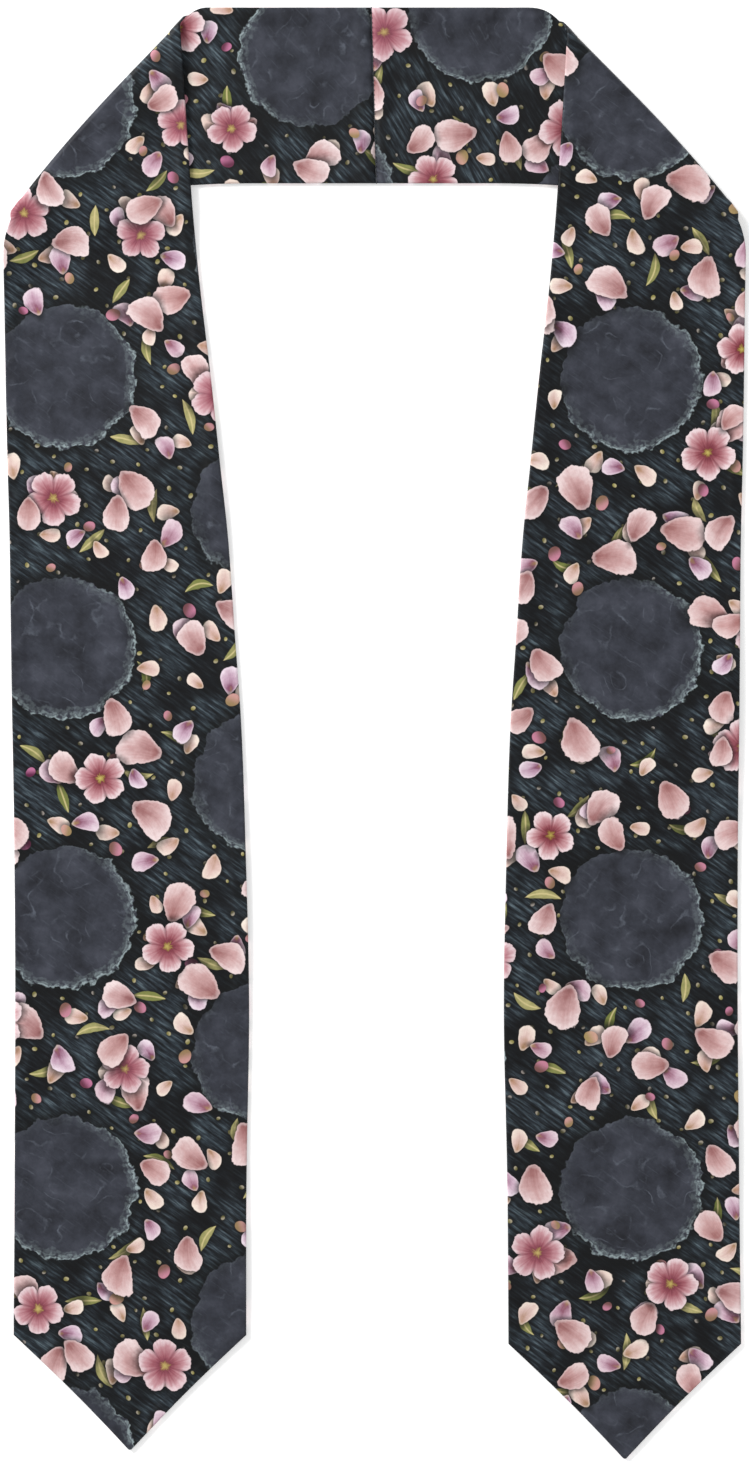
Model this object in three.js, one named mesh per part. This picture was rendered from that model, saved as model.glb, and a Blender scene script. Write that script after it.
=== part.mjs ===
// A graduation stole, laid out flat: two long pointed panels, each folded under along a
// diagonal crease at the shoulder and running on behind the other layer as the neck band.
// Millimetres. +Z is up from the surface it lies on, +Y runs from the points to the neck.
// Each half is two cloths, face and backing, sewn round their edges and turned. Each cloth
// is two solids that meet under the panel, where the rolled crease reaches the band.
import * as THREE from "three";

// Outline
const span = 417; // across both panels at the shoulders
const panelLength = 747; // top of the neck band down to the left panel's lower corners
const rightLower = 5; // how much lower the right half's end lies
const rightSwing = 4; // how far the right panel's end swings outwards
const bandWidth = 99; // the neck band, and the strip where it is creased
const bottomWidth = 131; // a panel at its lower corners
const pointRise = 64.5; // lower corners down to the tip
const pointHollow = 1.4; // how far a point's sides are drawn in
const tipWidth = 1.8; // the turned tip is a little blunt

// Shoulder crease
const shoulderDrop = 120; // top of the band down to the crease's outer end
const neckDrop = 12.5; // top of the band down to the left crease's inner end
const rightCreaseDrop = 3.5; // how much lower the right crease's inner end lies
const creaseBow = 2.8; // how far the crease bows outwards between its ends
const shoulderPull = 4.5; // how far the outer edge is drawn in as it reaches the crease
const shoulderPullRun = 20; // length of edge over which it is drawn in
const topCornerReach = 1.9; // run over which the band's top edge levels off, for each mm it rises
const foldHollow = 1.1; // radius left open inside the rolled crease

// Cloth and how it lies
const clothThickness = 1; // one cloth, face or backing
const plyGap = 0.3; // between the face and the backing of one half
const edgeRound = 0.7; // how far the sewn and turned edges are rounded off
const layerGap = 0.4; // between a panel and the band that it rests on
const jointGap = 0.3; // between a panel's solid and its band's, inside the crease
const settleRun = 34; // from the crease to where a panel has settled on the band
const drapeFrom = 5; // how far past the band's edge a panel begins to come down
const drapeRun = 34; // from there to where it has come down to the surface
const swellRise = 1.5; // height of the tallest low swell in the panels

// Centre-back seam
const seamWidth = 1.6;
const seamGap = 0.3; // between the seam and each half
const seamLean = 2.8; // the seam's foot lies this much further right than its head
const seamPeak = 0.5; // how far the seam stands out past the band's edges

// Steps of the woven surface along and across the strip
const steps = { point: 7, panel: 34, roll: 8, band: 14, across: 6 };

// The edges of a panel. down: share of the panel's length. drift: how far the outer edge has
// drawn in, and flare: how far the width has grown, both as shares of the flare's size.
const panelShape = [
  { down: 0.0, drift: 0.0, flare: 0.0 },
  { down: 0.13, drift: 0.0, flare: 0.2 },
  { down: 0.2, drift: 0.01, flare: 0.33 },
  { down: 0.28, drift: 0.04, flare: 0.52 },
  { down: 0.34, drift: 0.07, flare: 0.64 },
  { down: 0.4, drift: 0.11, flare: 0.75 },
  { down: 0.47, drift: 0.135, flare: 0.84 },
  { down: 0.54, drift: 0.16, flare: 0.93 },
  { down: 0.62, drift: 0.19, flare: 0.97 },
  { down: 0.75, drift: 0.21, flare: 1.02 },
  { down: 0.88, drift: 0.2, flare: 0.985 },
  { down: 1.0, drift: 0.18, flare: 1.0 },
];

// Low swells where a panel doesn't lie quite flat. down and reach: shares of the panel's
// length. across: 0 at the outer edge, 1 at the inner. rise: share of the tallest swell.
const swells = [
  { down: 0.34, across: 1.0, reach: 0.13, rise: 0.8 },
  { down: 0.5, across: 0.0, reach: 0.14, rise: 1.0 },
  { down: 0.66, across: 1.0, reach: 0.12, rise: 0.9 },
  { down: 0.82, across: 0.05, reach: 0.12, rise: 0.7 },
  { down: 0.95, across: 0.95, reach: 0.1, rise: 0.8 },
];

// Worked out from the sizes above
const stripThickness = 2 * clothThickness + plyGap;
const flareSize = bottomWidth - bandWidth;
const rollRadius = stripThickness / 2 + foldHollow;
const rollAngle = Math.PI - jointGap / foldHollow;
const lyingHeight = stripThickness / 2;
const overBandLift = stripThickness + layerGap;
const creaseLift = Math.max(2 * rollRadius, overBandLift);
const topY = (panelLength + rightLower + pointRise) / 2;

// The two halves. mirror: -1 puts the half on the left. neckDrop: from the top of the band
// down to the crease's inner end. shift: moves the half's swells down its panel.
const halves = [
  { name: "left", mirror: -1, length: panelLength, swing: 0, neckDrop, shift: 0 },
  {
    name: "right",
    mirror: 1,
    length: panelLength + rightLower,
    swing: rightSwing,
    neckDrop: neckDrop + rightCreaseDrop,
    shift: 0.06,
  },
];

const mix = THREE.MathUtils.lerp;
const ease = (value) => THREE.MathUtils.smoothstep(value, 0, 1);

// A column of a table at a place along it, on a smooth curve through its rows.
function readTable(table, column, down) {
  const last = table.length - 1;
  let row = 0;
  while (row < last - 1 && table[row + 1].down < down) row += 1;
  const before = table[Math.max(row - 1, 0)];
  const from = table[row];
  const to = table[row + 1];
  const after = table[Math.min(row + 2, last)];
  const width = to.down - from.down;
  const startSlope = ((to[column] - before[column]) / (to.down - before.down)) * width;
  const endSlope = ((after[column] - from[column]) / (after.down - from.down)) * width;
  const t = THREE.MathUtils.clamp((down - from.down) / width, 0, 1);
  const rise = to[column] - from[column];
  return from[column] + t * (startSlope + t * (3 * rise - 2 * startSlope - endSlope +
    t * (startSlope + endSlope - 2 * rise)));
}

// Places on a half are kept as x outwards from the middle and y; the half's mirror is put
// on at the end.
function panelEdges(half) {
  const drawnIn = (drop) => {
    const left = 1 - (drop - shoulderDrop) / shoulderPullRun;
    return shoulderPull * THREE.MathUtils.clamp(left, 0, 1) ** 2;
  };
  const line = (drop) => {
    const down = drop / half.length;
    return span / 2 - flareSize * readTable(panelShape, "drift", down) + half.swing * down;
  };
  const widthAt = (drop) => bandWidth + flareSize * readTable(panelShape, "flare", drop / half.length);
  return {
    outer: (drop) => new THREE.Vector2(line(drop) - drawnIn(drop), topY - drop),
    inner: (drop) => new THREE.Vector2(line(drop) - widthAt(drop), topY - drop),
  };
}

// The crease: the line that the cloth rolls round, which way it faces and how it bows.
function shoulderCrease(half, edges) {
  const outerEnd = edges.outer(shoulderDrop);
  const innerEnd = edges.inner(half.neckDrop);
  const along = innerEnd.clone().sub(outerEnd).normalize();
  const outwards = new THREE.Vector2(-along.y, along.x);
  if (outwards.y < 0) outwards.negate();
  const slipOf = (edge, drop) => {
    const run = edge(drop).sub(edge(drop + shoulderPullRun));
    return run.dot(along) / run.dot(outwards);
  };
  return {
    outerEnd,
    innerEnd,
    along,
    outwards,
    outerSlip: slipOf(edges.outer, shoulderDrop + shoulderPullRun),
    innerSlip: slipOf(edges.inner, half.neckDrop),
    bow: (share) => creaseBow * Math.sin(Math.PI * share ** 0.8),
  };
}

// The edges of the neck band. Its lower edge dips towards the crease under the panel, and
// its top edge levels off from the crease's inner end.
function bandEdges(start) {
  const dipFrom = 0.34 * start.outer.x;
  const dip = topY - bandWidth - start.outer.y;
  const drop = topY - start.inner.y;
  return {
    lower: (x) => {
      const share = THREE.MathUtils.clamp((x - dipFrom) / (start.outer.x - dipFrom), 0, 1.2);
      return new THREE.Vector2(x, topY - bandWidth - dip * share ** 2);
    },
    upper: (x) => {
      const share = THREE.MathUtils.clamp(1 + (x - start.inner.x) / (topCornerReach * drop), 0, 1);
      return new THREE.Vector2(x, topY - drop * share ** 1.5);
    },
  };
}

// Where the seam's middle lies, left or right of the centre, at a height in the band.
const seamX = (y) => seamLean * ((topY - y) / bandWidth - 0.5);

// A row runs from the strip's outer edge to its inner edge. bow: how much of the crease's
// bow it takes. height: the middle of the cloth above the surface at a place on the row.
function stripRows(half) {
  const edges = panelEdges(half);
  const crease = shoulderCrease(half, edges);
  const slip = (angle) => ({
    outer: crease.outerEnd.clone().addScaledVector(crease.along, crease.outerSlip * rollRadius * angle),
    inner: crease.innerEnd.clone().addScaledVector(crease.along, crease.innerSlip * rollRadius * angle),
  });
  const band = bandEdges(slip(Math.PI));

  const bell = (distance) => (Math.abs(distance) < 1 ? Math.cos((distance * Math.PI) / 2) ** 2 : 0);
  const swellAt = (down, across) => swells.reduce((sum, swell) => {
    const along = bell((down - swell.down - half.shift * (1 - down)) / swell.reach);
    return sum + swellRise * swell.rise * along * bell((across - swell.across) / 0.8);
  }, 0);
  const panelHeight = (place, across) => {
    const fromCrease = crease.outerEnd.clone().sub(place).dot(crease.outwards);
    const pastBand = band.lower(place.x).y - place.y - drapeFrom;
    const resting = overBandLift * (1 - ease(pastBand / drapeRun));
    const lift = mix(creaseLift, resting, ease(fromCrease / settleRun));
    return lyingHeight + lift + swellAt((topY - place.y) / half.length, across);
  };

  const rows = [];
  const corners = { outer: edges.outer(half.length), inner: edges.inner(half.length) };
  const tip = corners.outer.clone().add(corners.inner).multiplyScalar(0.5);
  tip.y -= pointRise;
  for (let step = 0; step < steps.point; step += 1) {
    const share = 1 - step / steps.point;
    const hollow = pointHollow * Math.sin(Math.PI * share);
    const outer = corners.outer.clone().lerp(tip.clone().setX(tip.x + tipWidth / 2), share);
    const inner = corners.inner.clone().lerp(tip.clone().setX(tip.x - tipWidth / 2), share);
    outer.x -= hollow;
    inner.x += hollow;
    rows.push({ outer, inner, bow: 0, height: panelHeight });
  }
  for (let step = 0; step <= steps.panel; step += 1) {
    const share = (1 - step / steps.panel) ** 1.6;
    rows.push({
      outer: edges.outer(mix(shoulderDrop, half.length, share)),
      inner: edges.inner(mix(half.neckDrop, half.length, share)),
      bow: ease(1 - share / 0.12),
      height: panelHeight,
    });
  }
  for (let step = 1; step <= steps.roll; step += 1) {
    const angle = (rollAngle * step) / steps.roll;
    const { outer, inner } = slip(angle);
    outer.addScaledVector(crease.outwards, rollRadius * Math.sin(angle));
    inner.addScaledVector(crease.outwards, rollRadius * Math.sin(angle));
    const height = lyingHeight + (creaseLift * (1 + Math.cos(angle))) / 2;
    rows.push({ outer, inner, bow: 1, height: () => height });
  }
  const bandFrom = rows.length;
  const start = slip(Math.PI);
  const endX = (y) => half.mirror * seamX(y) + seamWidth / 2 + seamGap;
  for (let step = 0; step <= steps.band; step += 1) {
    const share = (step / steps.band) ** 1.5;
    rows.push({
      outer: band.lower(mix(start.outer.x, endX(topY - bandWidth), share)),
      inner: band.upper(mix(start.inner.x, endX(topY), share)),
      bow: ease(1 - share / 0.3),
      height: () => lyingHeight,
    });
  }
  return { rows, crease, bandFrom };
}

// Points of the half's middle surface: one list for each row, with a column at each edge,
// one where the rounded edge begins, and even steps between.
function middleSurface({ rows, crease }, mirror) {
  return rows.map((row) => {
    const width = row.outer.distanceTo(row.inner);
    const round = Math.min(edgeRound, width / 4);
    const distances = [0];
    for (let step = 0; step <= steps.across; step += 1) {
      distances.push(mix(round, width - round, step / steps.across));
    }
    distances.push(width);
    return distances.map((distance) => {
      const across = distance / width;
      const place = row.outer.clone().lerp(row.inner, across);
      place.addScaledVector(crease.outwards, row.bow * crease.bow(across));
      return new THREE.Vector3(mirror * place.x, place.y, row.height(place, across));
    });
  });
}

// Which way the face side looks at each point of the middle surface.
function faceNormals(surface, mirror) {
  return surface.map((row, rowIndex) => row.map((_, column) => {
    const ahead = surface[Math.min(rowIndex + 1, surface.length - 1)][column];
    const behind = surface[Math.max(rowIndex - 1, 0)][column];
    const next = row[Math.min(column + 1, row.length - 1)];
    const previous = row[Math.max(column - 1, 0)];
    const along = ahead.clone().sub(behind);
    const across = next.clone().sub(previous);
    return across.cross(along).multiplyScalar(-mirror).normalize();
  }));
}

// A closed body between two grids of points that have the same rows and columns.
function bodyBetween(top, bottom) {
  const rowCount = top.length;
  const columnCount = top[0].length;
  const points = [...top.flat(), ...bottom.flat()];
  const upper = (row, column) => row * columnCount + column;
  const lower = (row, column) => rowCount * columnCount + row * columnCount + column;
  const triangles = [];
  const quad = (a, b, c, d) => triangles.push(a, b, c, a, c, d);
  for (let row = 0; row < rowCount - 1; row += 1) {
    for (let column = 0; column < columnCount - 1; column += 1) {
      quad(upper(row, column), upper(row, column + 1), upper(row + 1, column + 1), upper(row + 1, column));
      quad(lower(row, column), lower(row + 1, column), lower(row + 1, column + 1), lower(row, column + 1));
    }
    const last = columnCount - 1;
    quad(lower(row, 0), upper(row, 0), upper(row + 1, 0), lower(row + 1, 0));
    quad(upper(row, last), lower(row, last), lower(row + 1, last), upper(row + 1, last));
  }
  for (let column = 0; column < columnCount - 1; column += 1) {
    const last = rowCount - 1;
    quad(upper(0, column + 1), upper(0, column), lower(0, column), lower(0, column + 1));
    quad(upper(last, column), upper(last, column + 1), lower(last, column + 1), lower(last, column));
  }
  return facingOut(points, triangles);
}

// The mesh with its faces turned outwards, by the sign of its volume.
function facingOut(points, triangles) {
  let volume = 0;
  for (let index = 0; index < triangles.length; index += 3) {
    const [a, b, c] = triangles.slice(index, index + 3).map((point) => points[point]);
    volume += a.dot(b.clone().cross(c));
  }
  const turned = volume > 0 ? triangles : triangles.slice().reverse();
  const geometry = new THREE.BufferGeometry().setFromPoints(points);
  geometry.setIndex(turned);
  geometry.computeVertexNormals();
  return geometry;
}

// One cloth of a half, as its panel and its band: side 1 is the face, -1 the backing. Its
// outer surface is rounded off at the long edges, where it is sewn to the other cloth.
function clothGeometries(half, side) {
  const strip = stripRows(half);
  const surface = middleSurface(strip, half.mirror);
  const normals = faceNormals(surface, half.mirror);
  const round = Math.min(edgeRound, 0.8 * clothThickness);
  const offset = (distance) => surface.map((row, rowIndex) => row.map((point, column) => {
    const normal = normals[rowIndex][column];
    return point.clone().addScaledVector(normal, side * distance(column, row.length - 1));
  }));
  const inside = offset(() => plyGap / 2);
  const outside = offset((column, last) => {
    const edge = column === 0 || column === last;
    return plyGap / 2 + clothThickness - (edge ? round : 0);
  });
  return {
    panel: bodyBetween(outside.slice(0, strip.bandFrom), inside.slice(0, strip.bandFrom)),
    band: bodyBetween(outside.slice(strip.bandFrom), inside.slice(strip.bandFrom)),
  };
}

// The sewn seam between the halves, a narrow rounded ridge across the band.
function seamGeometry() {
  const half = seamWidth / 2;
  const high = stripThickness;
  const round = Math.min(seamWidth, high) / 4;
  const section = [
    [-half, round], [-half, high - round], [round - half, high], [half - round, high], [half, high - round],
    [half, round], [half - round, 0], [round - half, 0],
  ];
  const shape = new THREE.Shape(section.map(([x, z]) => new THREE.Vector2(x, z)));
  const length = bandWidth + 2 * seamPeak;
  const geometry = new THREE.ExtrudeGeometry(shape, { depth: length, bevelEnabled: false, steps: 1 });
  const position = geometry.attributes.position;
  for (let index = 0; index < position.count; index += 1) {
    const y = topY + seamPeak - position.getZ(index);
    position.setXYZ(index, position.getX(index) + seamX(y), y, position.getY(index));
  }
  geometry.computeVertexNormals();
  return geometry;
}

// Materials: printed satin in dark slate with rose, the reverse a shade duller.
const faceSatin = () => new THREE.MeshStandardMaterial({ color: 0x4a3f46, roughness: 0.5, metalness: 0 });
const backingSatin = () => new THREE.MeshStandardMaterial({ color: 0x44393f, roughness: 0.6, metalness: 0 });
const seamThread = () => new THREE.MeshStandardMaterial({ color: 0x1f2228, roughness: 0.7, metalness: 0 });

function named(name, geometry, material) {
  const mesh = new THREE.Mesh(geometry, material);
  mesh.name = name;
  return mesh;
}

const group = new THREE.Group();
for (const half of halves) {
  const face = clothGeometries(half, 1);
  const backing = clothGeometries(half, -1);
  group.add(named(`${half.name}_face_panel`, face.panel, faceSatin()));
  group.add(named(`${half.name}_face_band`, face.band, faceSatin()));
  group.add(named(`${half.name}_backing_panel`, backing.panel, backingSatin()));
  group.add(named(`${half.name}_backing_band`, backing.band, backingSatin()));
}
group.add(named("centre_back_seam", seamGeometry(), seamThread()));

// The origin is the middle of the stole's box, on the surface that it lies on.
const middle = new THREE.Box3().setFromObject(group).getCenter(new THREE.Vector3());
group.position.set(-middle.x, -middle.y, 0);

export default group;
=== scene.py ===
# The looks of a graduation stole that lies flat: two halves of double printed satin, each
# creased and folded under at the shoulder, and joined by a seam at the centre back.
import math

import bpy
import numpy as np
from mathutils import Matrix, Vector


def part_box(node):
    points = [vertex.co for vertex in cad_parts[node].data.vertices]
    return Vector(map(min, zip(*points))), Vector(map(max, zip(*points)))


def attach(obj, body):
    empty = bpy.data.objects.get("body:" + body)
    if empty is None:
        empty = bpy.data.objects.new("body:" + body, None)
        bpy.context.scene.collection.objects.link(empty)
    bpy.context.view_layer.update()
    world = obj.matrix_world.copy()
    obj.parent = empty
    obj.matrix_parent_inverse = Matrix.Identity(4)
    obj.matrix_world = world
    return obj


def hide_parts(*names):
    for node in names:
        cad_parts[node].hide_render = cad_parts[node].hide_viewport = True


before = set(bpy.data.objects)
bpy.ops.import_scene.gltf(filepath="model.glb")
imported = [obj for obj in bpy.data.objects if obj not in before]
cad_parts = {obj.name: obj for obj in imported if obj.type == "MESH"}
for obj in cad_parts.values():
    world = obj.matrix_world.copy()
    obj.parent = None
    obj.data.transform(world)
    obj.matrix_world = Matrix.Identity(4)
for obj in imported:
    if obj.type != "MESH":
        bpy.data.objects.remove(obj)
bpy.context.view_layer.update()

# The camera looks straight down on the stole from a good two metres up.
LENS_MM = 100.0
SENSOR_MM = 36.0
CAMERA_PLACE = (0.0, 0.0011, 2.285)

camera_data = bpy.data.cameras.new("camera")
camera_data.lens = LENS_MM
camera_data.sensor_width = SENSOR_MM
camera = bpy.data.objects.new("camera", camera_data)
camera.location = CAMERA_PLACE
bpy.context.scene.collection.objects.link(camera)
bpy.context.scene.camera = camera
bpy.context.scene.view_settings.view_transform = "Standard"

# A wide pale floor just under the cloth. It glows a little, as a light table does, so that
# the stole's shadows on it stay faint.
FLOOR_REACH = 60.0
FLOOR_DEPTH = 0.0006
FLOOR_GLOW = 0.3

bpy.ops.object.select_all(action="DESELECT")
bpy.ops.mesh.primitive_plane_add(size=2 * FLOOR_REACH, location=(0.0, 0.0, -FLOOR_DEPTH))
bpy.ops.object.transform_apply(location=True, rotation=False, scale=False)
floor = bpy.context.object
floor.name = "floor"
floor_mesh = floor.data
floor_paint = bpy.data.materials.new("pale_floor")
floor_paint.use_nodes = True
floor_shader = floor_paint.node_tree.nodes["Principled BSDF"]
floor_shader.inputs["Base Color"].default_value = (0.94, 0.94, 0.94, 1.0)
floor_shader.inputs["Roughness"].default_value = 0.9
floor_shader.inputs["Specular IOR Level"].default_value = 0.1
floor_shader.inputs["Emission Color"].default_value = (1.0, 1.0, 1.0, 1.0)
floor_shader.inputs["Emission Strength"].default_value = FLOOR_GLOW
floor_mesh.materials.append(floor_paint)

# Even light from all round, one large window light from the upper left, and a weak one
# from the lower right.
ROOM_LIGHT = 0.56

world = bpy.data.worlds.new("studio")
bpy.context.scene.world = world
world.use_nodes = True
world.node_tree.nodes["Background"].inputs["Color"].default_value = (1.0, 1.0, 1.0, 1.0)
world.node_tree.nodes["Background"].inputs["Strength"].default_value = ROOM_LIGHT


def soft_light(name, place, size, power):
    """A large soft light at a place, turned towards the middle of the stole."""
    data = bpy.data.lights.new(name, "AREA")
    data.shape = "SQUARE"
    data.size = size
    data.energy = power
    light = bpy.data.objects.new(name, data)
    light.location = place
    away = np.array(place) / np.linalg.norm(place)
    light.rotation_euler = (math.acos(away[2]), 0.0, math.atan2(away[1], away[0]) + math.pi / 2)
    bpy.context.scene.collection.objects.link(light)


soft_light("window_light", (-2.6, 2.2, 2.2), 1.5, 165.0)
soft_light("fill_light", (2.8, -1.6, 2.0), 2.4, 26.0)

# The two halves' cloth. Each half is one long strip of two satin layers: up the panel from
# its point, round the rolled crease at the shoulder, and along the neck band to the centre
# back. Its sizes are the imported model's, in millimetres, with x outwards from the middle.
SPAN = 417.0
PANEL_LENGTH = 747.0
RIGHT_LOWER = 5.0
RIGHT_SWING = 4.0
BAND_WIDTH = 99.0
BOTTOM_WIDTH = 131.0
POINT_RISE = 64.5
POINT_HOLLOW = 1.4
TIP_WIDTH = 1.8
SHOULDER_DROP = 120.0
NECK_DROP = 12.5
RIGHT_CREASE_DROP = 3.5
CREASE_BOW = 2.8
SHOULDER_PULL = 4.5
SHOULDER_PULL_RUN = 20.0
TOP_CORNER_REACH = 2.5
FOLD_HOLLOW = 1.1
CLOTH = 1.0
PLY_GAP = 0.3
LAYER_GAP = 0.4
SETTLE_RUN = 34.0
DRAPE_FROM = 5.0
DRAPE_RUN = 34.0
SWELL_RISE = 1.5
SEAM_DITCH = 0.24
SEAM_LEAN = 2.8
SEAM_PEAK = 0.5

# rows of the cloth's grid along each stretch of the strip, and columns between its edges
POINT_ROWS = 27
PANEL_ROWS = 226
ROLL_ROWS = 25
BAND_ROWS = 76
MIDDLE_COLUMNS = 32
# shares of the panel and of the band over which the crease's bow fades out
BOW_ON_PANEL = 0.12
BOW_ON_BAND = 0.3
# share of the way to the crease at which the band's lower edge begins to dip
DIP_FROM = 0.34

STRIP_THICKNESS = 2 * CLOTH + PLY_GAP
FLARE_SIZE = BOTTOM_WIDTH - BAND_WIDTH
ROLL_RADIUS = STRIP_THICKNESS / 2 + FOLD_HOLLOW
LYING = STRIP_THICKNESS / 2
OVER_BAND = STRIP_THICKNESS + LAYER_GAP
CREASE_LIFT = max(2 * ROLL_RADIUS, OVER_BAND)
TOP_Y = (PANEL_LENGTH + RIGHT_LOWER + POINT_RISE) / 2

# down the panel, how far the outer edge has drawn in, how far the width has grown
PANEL_SHAPE = np.array([
    (0.0, 0.0, 0.0),
    (0.13, 0.0, 0.2),
    (0.2, 0.01, 0.33),
    (0.28, 0.04, 0.52),
    (0.34, 0.07, 0.64),
    (0.4, 0.11, 0.75),
    (0.47, 0.135, 0.84),
    (0.54, 0.16, 0.93),
    (0.62, 0.19, 0.97),
    (0.75, 0.21, 1.02),
    (0.88, 0.2, 0.985),
    (1.0, 0.18, 1.0),
])
# down the panel, across it, reach along it, share of the tallest swell
SWELLS = (
    (0.34, 1.0, 0.13, 0.8),
    (0.5, 0.0, 0.14, 1.0),
    (0.66, 1.0, 0.12, 0.9),
    (0.82, 0.05, 0.12, 0.7),
    (0.95, 0.95, 0.1, 0.8),
)
HALVES = {
    "left": {
        "mirror": -1,
        "length": PANEL_LENGTH,
        "swing": 0.0,
        "neck": NECK_DROP,
        "corner": 2.2,
        "corner_lift": 3.0,
        "shift": 0.0,
    },
    "right": {
        "mirror": 1,
        "length": PANEL_LENGTH + RIGHT_LOWER,
        "swing": RIGHT_SWING,
        "neck": NECK_DROP + RIGHT_CREASE_DROP,
        "corner": 2.9,
        "corner_lift": 3.4,
        "shift": 0.06,
    },
}
# the seam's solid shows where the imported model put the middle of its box
seam_low, seam_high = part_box("centre_back_seam")
SHIFT_X = 500.0 * (seam_low.x + seam_high.x)
SHIFT_Y = 1000.0 * seam_high.y - (TOP_Y + SEAM_PEAK)


def ease(value):
    """Smooth from 0 to 1 as the value goes from 0 to 1."""
    value = np.clip(value, 0.0, 1.0)
    return value * value * (3.0 - 2.0 * value)


def unit(vectors):
    """Vectors made one long, along the last axis."""
    return vectors / np.maximum(np.linalg.norm(vectors, axis=-1, keepdims=True), 1e-9)


def read_shape(down, column):
    """A column of the panel's shape at a share of its length, on a smooth curve."""
    places = PANEL_SHAPE[:, 0]
    values = PANEL_SHAPE[:, column]
    last = len(places) - 1
    row = np.clip(np.searchsorted(places, down) - 1, 0, last - 1)
    before = np.maximum(row - 1, 0)
    after = np.minimum(row + 2, last)
    width = places[row + 1] - places[row]
    rise = values[row + 1] - values[row]
    start = (values[row + 1] - values[before]) / (places[row + 1] - places[before]) * width
    end = (values[after] - values[row]) / (places[after] - places[row]) * width
    t = np.clip((down - places[row]) / width, 0.0, 1.0)
    bend = 3 * rise - 2 * start - end + t * (start + end - 2 * rise)
    return values[row] + t * (start + t * bend)


def panel_edge(half, drop, inner):
    """A place on the panel's outer or inner edge, a drop below the top of the band."""
    drop = np.asarray(drop, float)
    down = drop / half["length"]
    x = SPAN / 2 - FLARE_SIZE * read_shape(down, 1) + half["swing"] * down
    if inner:
        x = x - BAND_WIDTH - FLARE_SIZE * read_shape(down, 2)
    else:
        left = 1.0 - (drop - SHOULDER_DROP) / SHOULDER_PULL_RUN
        x = x - SHOULDER_PULL * np.clip(left, 0.0, 1.0) ** 2
    return np.stack([x, TOP_Y - drop], axis=-1)


def strip_rows(half):
    """The strip's rows from the point to the centre back: where each starts at the outer edge
    and ends at the inner one, how much of the crease's bow it takes, its zone (0 on the
    panel, 1 on the roll, 2 on the band) and its roll angle."""
    outer_end = panel_edge(half, SHOULDER_DROP, False)
    inner_end = panel_edge(half, half["neck"], True)
    along = unit(inner_end - outer_end)
    away = np.array([-along[1], along[0]])
    away = away if away[1] > 0 else -away

    def slip_of(inner, drop):
        run = panel_edge(half, drop, inner) - panel_edge(half, drop + SHOULDER_PULL_RUN, inner)
        return (run @ along) / (run @ away)

    outer_slip = slip_of(False, SHOULDER_DROP + SHOULDER_PULL_RUN)
    inner_slip = slip_of(True, half["neck"])
    outer, inner, bow, zone, angles = [], [], [], [], []

    corner_outer = panel_edge(half, half["length"], False)
    corner_inner = panel_edge(half, half["length"], True)
    tip = (corner_outer + corner_inner) / 2 - (0.0, POINT_RISE)
    for share in 1.0 - np.linspace(0.0, 1.0, POINT_ROWS)[:-1]:
        hollow = POINT_HOLLOW * math.sin(math.pi * share)
        to_tip = np.array([TIP_WIDTH / 2, 0.0])
        outer.append(corner_outer * (1 - share) + (tip + to_tip) * share - (hollow, 0.0))
        inner.append(corner_inner * (1 - share) + (tip - to_tip) * share + (hollow, 0.0))
        bow.append(0.0)
        zone.append(0)
        angles.append(0.0)
    outer_run = half["length"] - SHOULDER_DROP
    inner_run = half["length"] - half["neck"]
    for share in (1.0 - np.linspace(0.0, 1.0, PANEL_ROWS)) ** 1.35:
        outer.append(panel_edge(half, SHOULDER_DROP + outer_run * share, False))
        inner.append(panel_edge(half, half["neck"] + inner_run * share, True))
        bow.append(float(ease(1 - share / BOW_ON_PANEL)))
        zone.append(0)
        angles.append(0.0)
    for angle in np.linspace(0.0, math.pi, ROLL_ROWS)[1:]:
        reach = ROLL_RADIUS * math.sin(angle) * away
        outer.append(outer_end + along * outer_slip * ROLL_RADIUS * angle + reach)
        lift = np.array([0.0, half["corner_lift"] * float(ease(2 * angle / math.pi - 1))])
        inner.append(inner_end + along * inner_slip * ROLL_RADIUS * angle + reach + lift)
        bow.append(1.0)
        zone.append(1)
        angles.append(angle)
    start_outer = outer[-1]
    start_inner = inner[-1]
    dip_from = DIP_FROM * start_outer[0]
    dip = TOP_Y - BAND_WIDTH - start_outer[1]
    drop = TOP_Y - start_inner[1]

    def lower_edge(x):
        share = np.clip((x - dip_from) / (start_outer[0] - dip_from), 0.0, 1.2)
        return TOP_Y - BAND_WIDTH - dip * share**2

    def upper_edge(x):
        share = np.clip(1 + (x - start_inner[0]) / (TOP_CORNER_REACH * drop), 0.0, 1.0)
        return TOP_Y - drop * share ** half["corner"]

    def end_x(y):
        return half["mirror"] * SEAM_LEAN * ((TOP_Y - y) / BAND_WIDTH - 0.5) + SEAM_DITCH

    for share in np.linspace(0.0, 1.0, BAND_ROWS)[1:] ** 1.3:
        x = start_outer[0] * (1 - share) + end_x(TOP_Y - BAND_WIDTH) * share
        outer.append(np.array([x, lower_edge(x)]))
        x = start_inner[0] * (1 - share) + end_x(TOP_Y) * share
        inner.append(np.array([x, upper_edge(x)]))
        bow.append(float(ease(1 - share / BOW_ON_BAND)))
        zone.append(2)
        angles.append(math.pi)
    rows = {
        "outer": np.array(outer),
        "inner": np.array(inner),
        "bow": np.array(bow)[:, None],
        "zone": np.array(zone)[:, None],
        "angle": np.array(angles)[:, None],
    }
    return rows, {"place": outer_end, "away": away, "lower_edge": lower_edge}


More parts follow.
